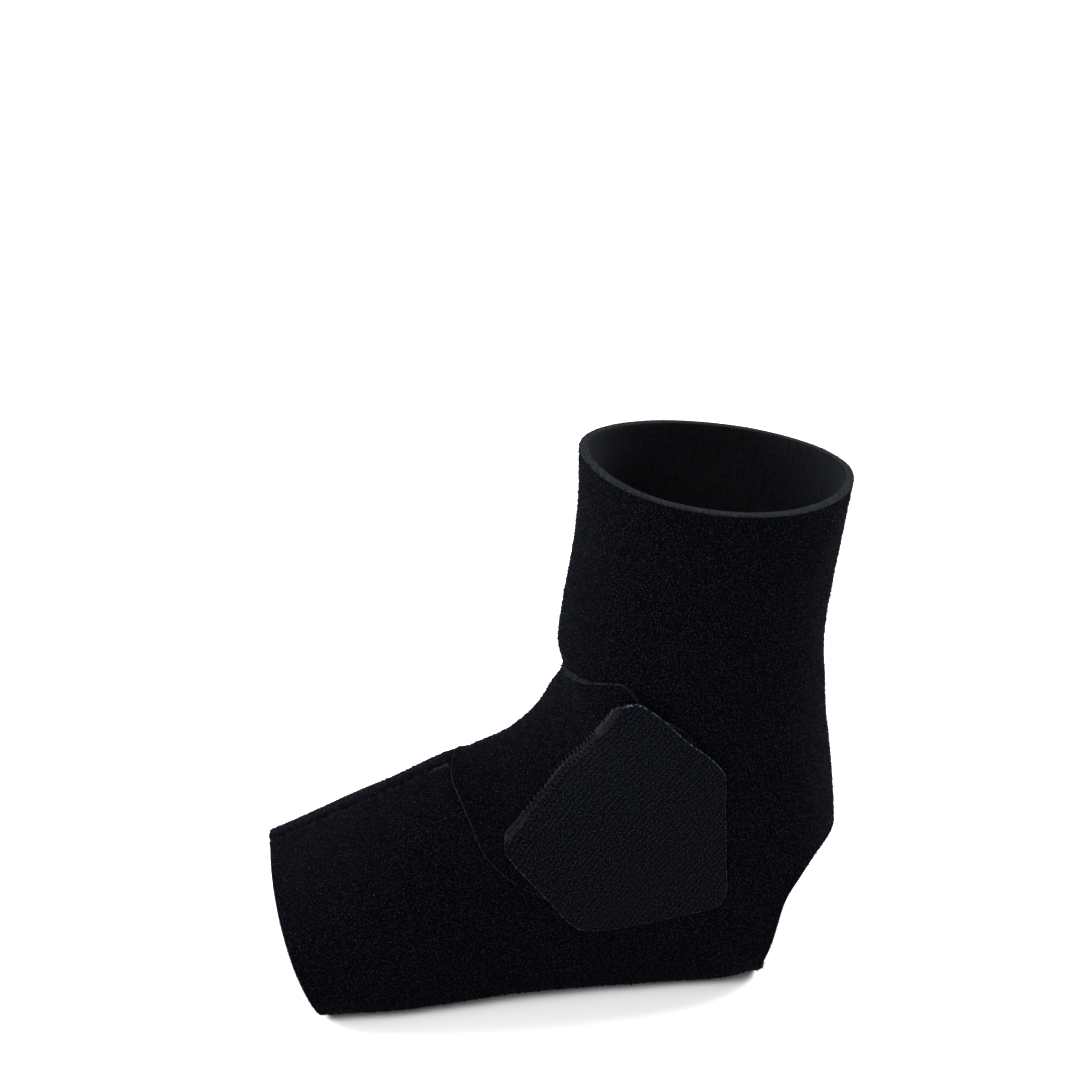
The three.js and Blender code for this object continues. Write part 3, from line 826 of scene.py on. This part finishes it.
TAB_LEVELS = 2
TAB_PLAIN_LEVELS = 1
TAB_NUDGES = (  # along the tab's edge
    Nudge((-18.0, -29.0, 67.0), 9.0, (2.3, 0.0, -0.8)),
    Nudge((-7.0, -25.0, 78.0), 10.0, (1.2, 0.0, -1.0)),
    Nudge((21.0, -36.0, 112.0), 8.0, (-0.8, 0.0, 1.4)),
    Nudge((18.5, -35.2, 112.0), 3.5, (-0.9, 0.0, 0.7)),
    Nudge((27.0, -38.5, 114.0), 3.5, (0.1, 0.0, 0.6)),
    Nudge((32.0, -40.5, 113.0), 7.0, (-0.6, 0.0, -1.1)),
    Nudge((44.0, -41.8, 104.0), 9.0, (-0.9, 0.0, -1.3)),
    Nudge((54.0, -41.5, 94.0), 7.0, (-0.4, 0.0, -1.2)),
    Nudge((55.7, -39.6, 70.0), 12.0, (1.1, 0.0, 0.0)),
    Nudge((27.0, -38.0, 31.5), 24.0, (0.3, 0.0, -1.3)),
    Nudge((-8.5, -40.0, 45.0), 13.0, (0.5, 0.0, 0.8)),
)
TAB_ROUNDS = 60  # the tape is stiffer than the strap
TAB_EDGE = np.array(((-20.0, -31.5, 62.0), (20.5, -36.0, 112.6))) * MM  # ends of its sewn edge
SEWN_FROM = 2.0 * MM  # the edge is bound by thread up to this distance from the line between them
SEWN_TO = 4.0 * MM


def sewn_share(points):
    """1 along the tab's sewn edge and 0 along its other edges."""
    flat = points[:, [0, 2]] - TAB_EDGE[0][[0, 2]]
    line = (TAB_EDGE[1] - TAB_EDGE[0])[[0, 2]]
    along = np.clip(flat @ line / (line @ line), 0, 1)
    away = np.linalg.norm(flat - along[:, None] * line, axis=1)
    return smoothstep(SEWN_TO, SEWN_FROM, away)


class WRAP_OT_hook_tab(bpy.types.Operator):
    """Make the hook tape tab, pressed on the strap's end and on the sleeve"""

    bl_idname = "wrap.hook_tab"
    bl_label = "Hook tab"

    def execute(self, context):
        sizes = context.scene.wrap_sizes
        colours = context.scene.wrap_colours
        points, quads = refined(*outer_skin("hook_tab"), TAB_LEVELS, TAB_PLAIN_LEVELS)
        points = nudged(points, TAB_NUDGES)
        lift = sizes.tab + sizes.touch
        points, _ = settled(points, quads, trees_of([SLEEVE, STRAP]), lift, lift, TAB_ROUNDS)
        points, faces, _, sides = wall_of(points, quads, sizes.tab, sizes.tab_round)
        tape = woven_hook_tape(colours)
        finish = [tape, sealed_tape_edge(colours), tape]
        piece = new_piece(TAB, points, faces, finish, sides, {"sewn": sewn_share(points)})
        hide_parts("hook_tab")
        return {"FINISHED"}


# Sewing: threads are bent tubes, sunk into the cloth at both ends

THREAD_SIDES = 6
THROW = 0.2  # from how far off a stitch is thrown onto the cloth
# Rise of a stitch over the cloth along its length, in thread radii
STITCH_BOW = ((0.0, -1.0), (0.12, 0.1), (0.5, 0.6), (0.88, 0.1), (1.0, -1.0))


def tube(centres, outwards, radius):
    """Points and faces of a closed thread through given centres."""
    along = unit(np.gradient(centres, axis=0))
    side = unit(np.cross(along, outwards))
    up = np.cross(side, along)
    turn = np.arange(THREAD_SIDES) * 2 * math.pi / THREAD_SIDES
    rings = centres[:, None] + radius * (np.cos(turn)[None, :, None] * side[:, None]
                                         + np.sin(turn)[None, :, None] * up[:, None])
    faces = []
    for i in range(len(centres) - 1):
        for j in range(THREAD_SIDES):
            k = (j + 1) % THREAD_SIDES
            low, high = i * THREAD_SIDES, (i + 1) * THREAD_SIDES
            faces.append([low + j, high + j, high + k, low + k])
    faces.append(list(range(THREAD_SIDES)))
    faces.append(list(range(len(centres) * THREAD_SIDES))[:-THREAD_SIDES - 1:-1])
    return rings.reshape(-1, 3), faces


def landed(places, direction, trees):
    """Points and normals where rays from outside hit the cloth first."""
    hits = []
    for place in places:
        start = Vector(place) - Vector(direction) * THROW
        found = [tree.ray_cast(start, Vector(direction)) for tree in trees]
        found = [hit for hit in found if hit[0] is not None]
        hits.append(min(found, key=lambda hit: hit[3])[:2] if found else None)
    return hits


def stitches(name, spans, direction, pieces, radius, material):
    """A piece of many stitches: each span has two ends, which are thrown onto the cloth."""
    trees = trees_of(pieces)
    points, faces = [], []
    count = 0
    for start, end in spans:
        shares = np.array([share for share, _ in STITCH_BOW])
        hits = landed(np.outer(1 - shares, start) + np.outer(shares, end), direction, trees)
        if None in hits:
            continue
        rise = np.array([rise for _, rise in STITCH_BOW])[:, None] * radius
        normals = np.array([hit[1] for hit in hits])
        normals = normals * np.where(normals @ np.array(direction) > 0, -1, 1)[:, None]
        ring, sides = tube(np.array([hit[0] for hit in hits]) + normals * rise, normals, radius)
        points.append(ring)
        faces.extend([[corner + count for corner in face] for face in sides])
        count += len(ring)
    return new_piece(name, np.concatenate(points), faces, [material])


def line_places(corners, start, pitch):
    """Places along a line of corners, the line's direction there and how far along they are."""
    corners = np.array(corners)
    steps = np.linalg.norm(np.diff(corners, axis=0), axis=1)
    reach = np.concatenate([[0], np.cumsum(steps)])
    marks = np.arange(start, reach[-1] - start, pitch)
    places = np.stack([np.interp(marks, reach, corners[:, i]) for i in range(3)], axis=1)
    ahead = np.stack([np.interp(marks + pitch / 10, reach, corners[:, i]) for i in range(3)], axis=1)
    return places, unit(ahead - places), marks


DOWN, ONTO_OUTER, ONTO_INNER = (0, 0, -1), (0, 1, 0), (0, -1, 0)  # ways that stitches are thrown
SEAM_STITCH = 0.62  # share of the pitch that shows on top
SEAM_START = 2 * MM
SEWING_SEED = 2
ZIGZAG_IN = 2.6 * MM  # how far the zigzag reaches into the tab
ZIGZAG_OUT = 0.35 * MM
ZIGZAG_PITCH = 2.0 * MM
ZIGZAG_THREAD = 0.6  # share of the thread of the plain seams
BAR_THREAD = 0.8
BAR_PITCH = 0.8 * MM
BAR_START = 0.5 * MM
BAR_LENGTHS = (12.0 * MM, 16.0 * MM)  # close stitches at the low and the high end of the edge
BAR_UNEVEN = 0.8 * MM  # how far the ends of the stitches vary
TACK_LENGTH = 6.0 * MM  # close stitches across the end of the forefoot seam
TACK_WIDTH = 3.2 * MM
ANCHOR_LINE = np.array(((47.5, 0.0, 63.0), (41.2, 0.0, 43.5), (24.0, 0.0, 34.6), (9.6, 0.0, 35.6))) * MM
ANCHOR_START = 1.0 * MM
ANCHOR_ROWS = 2.5 * MM  # from the outer row to the inner row
ANCHOR_INWARDS = np.array((-0.6, 0.0, 0.8))


def outer_border(name, first, last):
    """Border points of a piece's outer side from near one place to near another."""
    points, quads = side_of(name, OUTER)
    following = dict(border_edges(quads).tolist())

    def walk(start, end):
        path = [start]
        while path[-1] != end:
            path.append(following[path[-1]])
        return path

    rim = list(following)
    here, goal = (rim[nearest([place], points[rim])[0][0]] for place in (first, last))
    return points[min((walk(here, goal), walk(goal, here)[::-1]), key=len)]


def sew_forefoot(sizes, plain, bright):
    """Stitches along the forefoot seam, and close ones across its end."""
    radius = sizes.thread / 2
    starts = np.arange(SEAM_TOE[0] + SEAM_START, SEAM_END[0] + SEAM_FADE, sizes.stitch_pitch)
    ends = starts + SEAM_STITCH * sizes.stitch_pitch
    seam = [((a, seam_line(a), 0.0), (b, seam_line(b), 0.0)) for a, b in zip(starts, ends)]
    stitches(SEAM_STITCHES, seam, DOWN, [SLEEVE], radius, plain)
    crossings = np.arange(SEAM_END[0] - TACK_LENGTH, SEAM_END[0], BAR_PITCH)
    tack = [((x, seam_line(x), 0.0), (x, seam_line(x) - TACK_WIDTH, 0.0)) for x in crossings]
    stitches(SEAM_TACK, tack, DOWN, [SLEEVE], BAR_THREAD * radius, bright)


def sew_tab(sizes, bright, dim):
    """Close bars at both ends of the tab's edge, and a zigzag between them."""
    radius = sizes.thread / 2
    edge = outer_border(TAB, *TAB_EDGE)
    inwards = unit(np.cross(edge[-1] - edge[0], (0.0, -1.0, 0.0)))
    tab = np.mean([v.co for v in bpy.data.objects[TAB].data.vertices], axis=0)
    inwards = inwards * np.sign((tab - edge.mean(axis=0)) @ inwards)
    whole = np.linalg.norm(np.diff(edge, axis=0), axis=1).sum()
    onto = [TAB, STRAP, SLEEVE]
    places, _, marks = line_places(edge, BAR_START, BAR_PITCH)
    in_bar = (marks < BAR_LENGTHS[0]) | (marks > whole - BAR_LENGTHS[1])
    uneven = np.random.default_rng(SEWING_SEED).uniform(-BAR_UNEVEN, 0, (len(places), 1))
    bars = zip(places - inwards * ZIGZAG_OUT, places + inwards * (ZIGZAG_IN + uneven))
    bars = [bar for bar, kept in zip(bars, in_bar) if kept]
    stitches(TAB_BARS, bars, ONTO_OUTER, onto, BAR_THREAD * radius, bright)
    places, heading, _ = line_places(edge, BAR_LENGTHS[0], ZIGZAG_PITCH)
    turned = places + inwards * (ZIGZAG_IN + uneven[:len(places)]) + heading * ZIGZAG_PITCH / 2
    out = places - inwards * ZIGZAG_OUT
    zigzag = [*zip(out, turned), *zip(turned[:-1], out[1:])]
    stitches(TAB_STITCHES, zigzag, ONTO_OUTER, onto, ZIGZAG_THREAD * radius, dim)


def sew_anchor(sizes, plain):
    """Two rows of stitches that hold the strap's fixed end."""
    places, heading, _ = line_places(ANCHOR_LINE, ANCHOR_START, sizes.stitch_pitch)
    anchor = []
    for row in (0, ANCHOR_ROWS):
        first = places + ANCHOR_INWARDS * row
        anchor.extend(zip(first, first + heading * SEAM_STITCH * sizes.stitch_pitch))
    stitches(ANCHOR_STITCHES, anchor, ONTO_INNER, [STRAP, SLEEVE], sizes.thread / 2, plain)


class WRAP_OT_sewing(bpy.types.Operator):
    """Sew the forefoot seam, the tab's edge and the strap's fixed end"""

    bl_idname = "wrap.sewing"
    bl_label = "Sewing"

    def execute(self, context):
        sizes = context.scene.wrap_sizes
        colours = context.scene.wrap_colours
        plain = polyester_thread("seam_thread", colours.seam_thread)
        bright = polyester_thread("bar_thread", colours.thread)
        dim = polyester_thread("zigzag_thread", colours.zigzag)
        sew_forefoot(sizes, plain, bright)
        sew_tab(sizes, bright, dim)
        sew_anchor(sizes, plain)
        return {"FINISHED"}


# Pile and fray: single loops and fibres, as closed three-sided spikes

LOOP_GAP = 1.05 * MM  # least distance between loops, which keeps them sparser than the real pile
LOOP_TRIES = 0.3 * MM * MM  # of cloth to each place that is tried
LOOP_LENGTH = (0.6 * MM, 1.1 * MM)
LOOP_WIDTH = 0.9 * MM
LOOP_TONES = (0.1, 1.0)  # how pale the painted light on the tops is, as shares of the palest
LOOP_SUNK = 0.24 * MM
LOOP_LEAN = 0.9
LOOP_COVER = 5 * MM  # a layer this close covers the pile
FRAY_AREA = 1.2 * MM * MM
FRAY_LENGTH = (0.35 * MM, 1.1 * MM)
FRAY_WIDTH = 0.16 * MM
PILE_SEED = 4
UPRIGHT = 0.9  # a spike whose upward share is more than this is turned about another axis
SPIKE_FACES = np.array(((0, 2, 1), (0, 1, 3), (1, 2, 3), (2, 0, 3)))


def scattered(name, side, area, chance):
    """Random places on one side of a piece, one to a given area, and the normals there."""
    points, quads = side_of(name, side)
    across = crosses(points, quads)
    share = np.linalg.norm(across, axis=1) / 2 / area
    counts = np.floor(share + chance.random(len(quads))).astype(int)
    picked = chance.permutation(np.repeat(np.arange(len(quads)), counts))
    a, b, c, d = (points[quads[picked, i]] for i in range(4))
    u, v = chance.random((2, len(picked), 1))
    places = (1 - v) * ((1 - u) * a + u * b) + v * ((1 - u) * d + u * c)
    return places, unit(across[picked])


def spaced(places, gap):
    """Numbers of the places that are kept so that no two of them are closer than a gap."""
    spots = places.tolist()
    kept = {}
    for number, (i, j, k) in enumerate(np.floor(places / gap).astype(int).tolist()):
        cells = itertools.product((i - 1, i, i + 1), (j - 1, j, j + 1), (k - 1, k, k + 1))
        near = (other for cell in cells for other in kept.get(cell, ()))
        if all(math.dist(spots[number], spots[other]) >= gap for other in near):
            kept.setdefault((i, j, k), []).append(number)
    return np.array([number for cell in kept.values() for number in cell])


def leaning(normals, chance):
    """Directions that lean away from the normals to random sides."""
    lean = chance.normal(0, LOOP_LEAN, normals.shape)
    along = np.sum(lean * normals, axis=1, keepdims=True)
    return unit(normals + lean - along * normals)


def spikes(name, roots, ways, lengths, width, chance, material):
    """A piece of many closed three-sided spikes that stay above the floor, with painted light on their
    tips.
    """
    kept = np.minimum(roots, roots + ways * lengths[:, None])[:, 2] > width / 2
    roots, ways, lengths = roots[kept], ways[kept], lengths[kept]
    helper = np.where(np.abs(ways[:, 2:]) < UPRIGHT, (0.0, 0.0, 1.0), (1.0, 0.0, 0.0))
    side = unit(np.cross(ways, helper))
    other = np.cross(ways, side)
    first = chance.uniform(0, 2 * math.pi, (len(roots), 1))
    corners = []
    for turn in np.arange(3) * 2 * math.pi / 3:
        corners.append(roots + width / 2 * (np.cos(first + turn) * side + np.sin(first + turn) * other))
    corners.append(roots + ways * lengths[:, None])
    points = np.stack(corners, axis=1).reshape(-1, 3)
    faces = (np.arange(len(roots))[:, None, None] * 4 + SPIKE_FACES).reshape(-1, 3)
    # painted light: the tone rises from the pile's black at the root to a random pale share at the tip
    tips = np.zeros((len(roots), 4))
    tips[:, 3] = chance.uniform(*LOOP_TONES, len(roots))
    return new_piece(name, points, faces, [material], attributes={"tip": tips.ravel()}, smooth=False)


class WRAP_OT_pile(bpy.types.Operator):
    """Stand single loops up from the sleeve and the strap, and fibres out of their cut edges"""

    bl_idname = "wrap.pile"
    bl_label = "Pile"

    def execute(self, context):
        chance = np.random.default_rng(PILE_SEED)
        material = loop_tips(context.scene.wrap_colours)
        for name, cloth, covers in ((SLEEVE_PILE, SLEEVE, (STRAP, TAB)), (STRAP_PILE, STRAP, (TAB,))):
            places, normals = scattered(cloth, OUTER, LOOP_TRIES, chance)
            kept = spaced(places, LOOP_GAP)
            places, normals = places[kept], normals[kept]
            bare = (np.abs(seam_side(places)) > SEAM_BARE) | (cloth != SLEEVE)
            for tree in trees_of(covers):
                bare &= [tree.ray_cast(Vector(p), Vector(n), LOOP_COVER)[0] is None
                         for p, n in zip(places, normals)]
            roots = (places - normals * LOOP_SUNK)[bare]
            lengths = chance.uniform(*LOOP_LENGTH, len(roots))
            spikes(name, roots, leaning(normals[bare], chance), lengths, LOOP_WIDTH, chance, material)
        edges = [scattered(name, EDGE, FRAY_AREA, chance) for name in (SLEEVE, STRAP)]
        roots, normals = (np.concatenate(values) for values in zip(*edges))
        lengths = chance.uniform(*FRAY_LENGTH, len(roots))
        spikes(FRAY, roots, leaning(normals, chance), lengths, FRAY_WIDTH, chance, material)
        return {"FINISHED"}


# Stage

FLOOR_HALF = 12.0
FLOOR_DROP = 0.2 * MM  # keeps the floor clear of the sole
FLOOR_MARKS = 3.0  # marks of the paint roller to a metre
FLOOR_SHADES = (0.985, 1.0)
AIM = Vector((0.02, 0.0, 0.09))  # where the lights point
SENSOR = 36.0  # mm
FARTHEST = 50.0  # the camera sees this far


def painted_floor(tint):
    """Matt white paint with faint marks of the roller."""
    look = Look("painted_studio_floor", {"Roughness": 0.9})
    rolled = look.noise(FLOOR_MARKS, detail=2.0)
    return look.finish(look.scaled(tint[:3], look.ranged(rolled, target=FLOOR_SHADES)))


class WRAP_OT_stage(bpy.types.Operator):
    """Make the pale floor, the soft lights and the camera"""

    bl_idname = "wrap.stage"
    bl_label = "Stage"

    def execute(self, context):
        scene = context.scene
        stage = scene.wrap_stage
        corners = [(-1, -1, 0), (1, -1, 0), (1, 1, 0), (-1, 1, 0)]
        mesh = bpy.data.meshes.new("studio_floor")
        mesh.from_pydata([Vector(corner) * FLOOR_HALF for corner in corners], [], [(0, 1, 2, 3)])
        mesh.materials.append(painted_floor(scene.wrap_colours.floor))
        floor = bpy.data.objects.new("studio_floor", mesh)
        floor.location.z = -FLOOR_DROP
        scene.collection.objects.link(floor)
        world = bpy.data.worlds.new("white_surroundings")
        world.use_nodes = True
        background = world.node_tree.nodes["Background"]
        background.inputs["Color"].default_value = (1, 1, 1, 1)
        background.inputs["Strength"].default_value = stage.sky
        scene.world = world
        lights = (
            {"name": "key_light", "place": (-0.7, -1.1, 1.3), "width": 1.0, "power": stage.key},
            {"name": "front_edge_light", "place": (-1.3, 0.5, 0.7), "width": 0.8, "power": stage.edge},
            {"name": "heel_edge_light", "place": (1.2, 0.62, 0.9), "width": 0.8, "power": stage.edge},
        )
        for row in lights:
            lamp = bpy.data.lights.new(row["name"], "AREA")
            lamp.size = row["width"]
            lamp.energy = row["power"]
            light = bpy.data.objects.new(row["name"], lamp)
            light.location = row["place"]
            light.rotation_euler = (AIM - Vector(row["place"])).to_track_quat("-Z", "Y").to_euler()
            scene.collection.objects.link(light)
        scene.view_settings.view_transform = "Standard"
        camera = bpy.data.objects.new("camera", bpy.data.cameras.new("camera"))
        camera.location = stage.eye
        camera.rotation_euler = (math.pi / 2 - stage.pitch, 0, stage.heading)
        camera.data.sensor_width = SENSOR
        camera.data.lens = stage.lens
        camera.data.clip_end = FARTHEST
        scene.collection.objects.link(camera)
        scene.camera = camera
        return {"FINISHED"}


class WRAP_PT_panel(bpy.types.Panel):
    """The wrap's pieces and settings"""

    bl_idname = "WRAP_PT_panel"
    bl_label = "Foot compression wrap"
    bl_space_type = "VIEW_3D"
    bl_region_type = "UI"
    bl_category = "Wrap"

    def draw(self, context):
        for operator in OPERATORS:
            self.layout.operator(operator.bl_idname)
        for group in (context.scene.wrap_sizes, context.scene.wrap_colours, context.scene.wrap_stage):
            column = self.layout.column()
            for name in group.__annotations__:
                column.prop(group, name)


GROUPS = {"wrap_sizes": WrapSizes, "wrap_colours": WrapColours, "wrap_stage": WrapStage}
OPERATORS = (WRAP_OT_stage, WRAP_OT_sleeve, WRAP_OT_strap, WRAP_OT_hook_tab, WRAP_OT_sewing,
             WRAP_OT_pile)


def register():
    for cls in (*GROUPS.values(), *OPERATORS, WRAP_PT_panel):
        bpy.utils.register_class(cls)
    for name, group in GROUPS.items():
        setattr(bpy.types.Scene, name, PointerProperty(type=group))


def unregister():
    for name in GROUPS:
        delattr(bpy.types.Scene, name)
    for cls in (WRAP_PT_panel, *reversed(OPERATORS), *reversed(GROUPS.values())):
        bpy.utils.unregister_class(cls)


def main():
    register()
    for operator in OPERATORS:
        family, name = operator.bl_idname.split(".")
        getattr(getattr(bpy.ops, family), name)()


if __name__ == "__main__":
    main()
